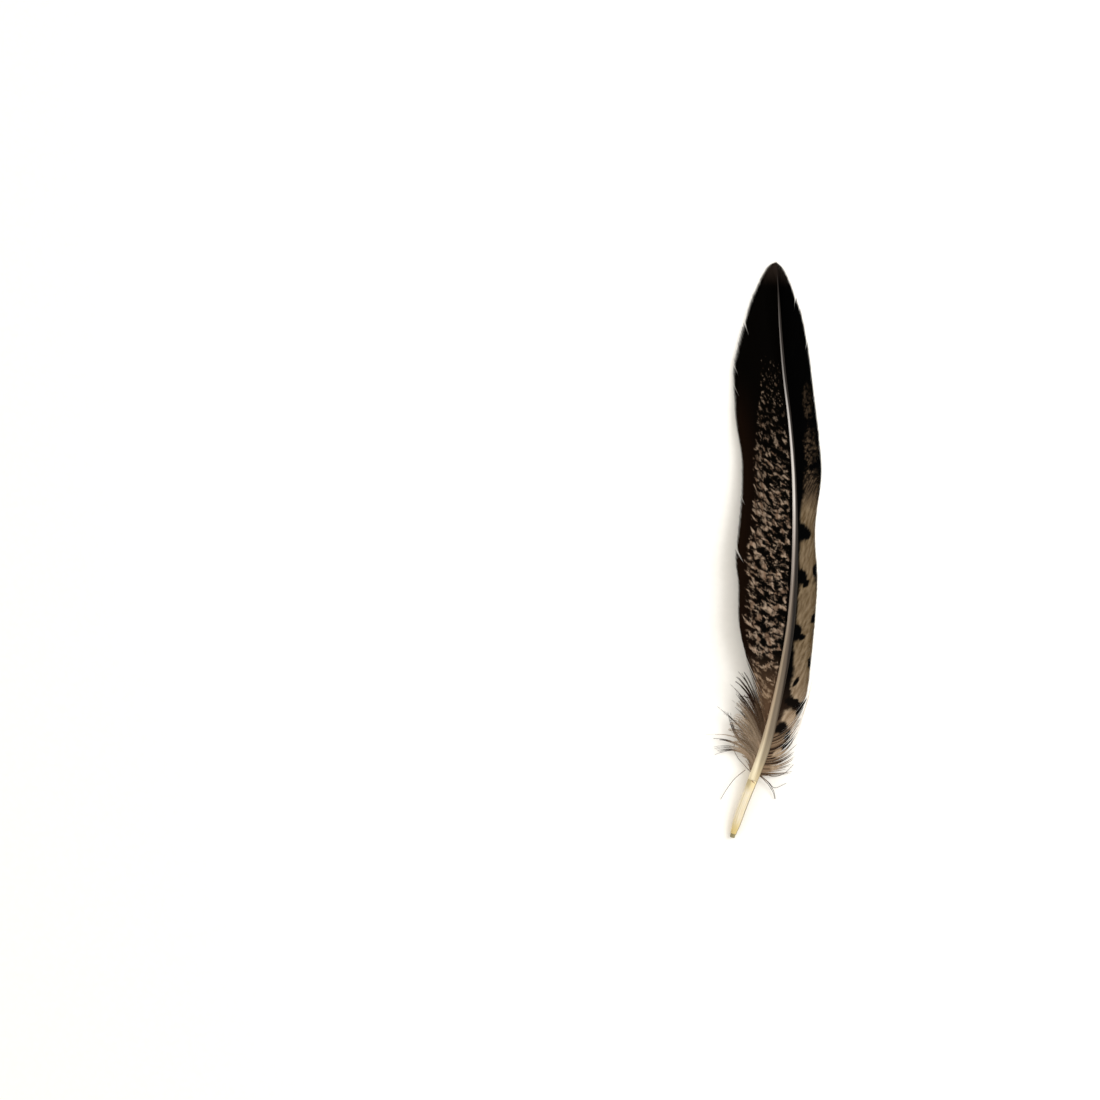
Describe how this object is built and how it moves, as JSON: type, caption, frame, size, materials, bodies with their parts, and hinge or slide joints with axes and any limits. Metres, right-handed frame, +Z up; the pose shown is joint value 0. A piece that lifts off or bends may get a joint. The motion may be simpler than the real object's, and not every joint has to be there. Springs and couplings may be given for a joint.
{
  "type": "quill feather",
  "caption": "Whole uncut wing quill of a game bird, the blank of a quill pen: hollow quill, bowed shaft, narrow and broad vane, downy foot.",
  "frame": {"origin": "the middle of the quill's end face", "axes": "+Y straight from the quill's end to the tip of the vane, +X towards the narrow leading vane, +Z up out of the feather's back as it lies on a flat surface"},
  "size_m": [0.0332, 0.1926, 0.007],
  "materials": {
    "horn": "translucent cream quill horn, amber at its end, satin gloss",
    "shaft": "satin horn, cream along one side and grey-brown along the other, finely streaked lengthwise",
    "pith": "matt white foam-like pith",
    "pulp": "matt brown dried pulp",
    "leading_barbs": "satin barbs, black above and buff with black blotches below",
    "trailing_barbs": "satin barbs, blackish brown mottled with grey-buff flecks",
    "down": "soft matt grey-brown down with dark tips"
  },
  "bodies": {
    "root": {"calamus_barrel": "horn", "inferior_umbilicus_button": "pulp", "superior_umbilicus_plug": "pulp", "pulp_cap_1": "pulp", "pulp_cap_2": "pulp", "pulp_cap_3": "pulp", "pulp_cap_4": "pulp", "pulp_cap_5": "pulp", "pulp_cap_6": "pulp", "rachis_cortex": "shaft", "rachis_pith": "pith", "leading_barbs_01": "leading_barbs", "leading_barbs_02": "leading_barbs", "leading_barbs_03": "leading_barbs", "leading_barbs_04": "leading_barbs", "leading_barbs_05": "leading_barbs", "leading_barbs_06": "leading_barbs", "leading_barbs_07": "leading_barbs", "leading_barbs_08": "leading_barbs", "leading_barbs_09": "leading_barbs", "leading_barbs_10": "leading_barbs", "leading_barbs_11": "leading_barbs", "leading_barbs_12": "leading_barbs", "leading_barbs_13": "leading_barbs", "leading_barbs_14": "leading_barbs", "trailing_barbs_01": "trailing_barbs", "trailing_barbs_02": "trailing_barbs", "trailing_barbs_03": "trailing_barbs", "trailing_barbs_04": "trailing_barbs", "trailing_barbs_05": "trailing_barbs", "trailing_barbs_06": "trailing_barbs", "trailing_barbs_07": "trailing_barbs", "trailing_barbs_08": "trailing_barbs", "trailing_barbs_09": "trailing_barbs", "trailing_barbs_10": "trailing_barbs", "trailing_barbs_11": "trailing_barbs", "trailing_barbs_12": "trailing_barbs", "trailing_barbs_13": "trailing_barbs", "trailing_barbs_14": "trailing_barbs", "trailing_barbs_15": "trailing_barbs", "down_tuft_1": "down", "down_tuft_2": "down", "down_tuft_3": "down", "down_tuft_4": "down", "down_tuft_5": "down", "down_tuft_6": "down"}
  },
  "joints": []
}
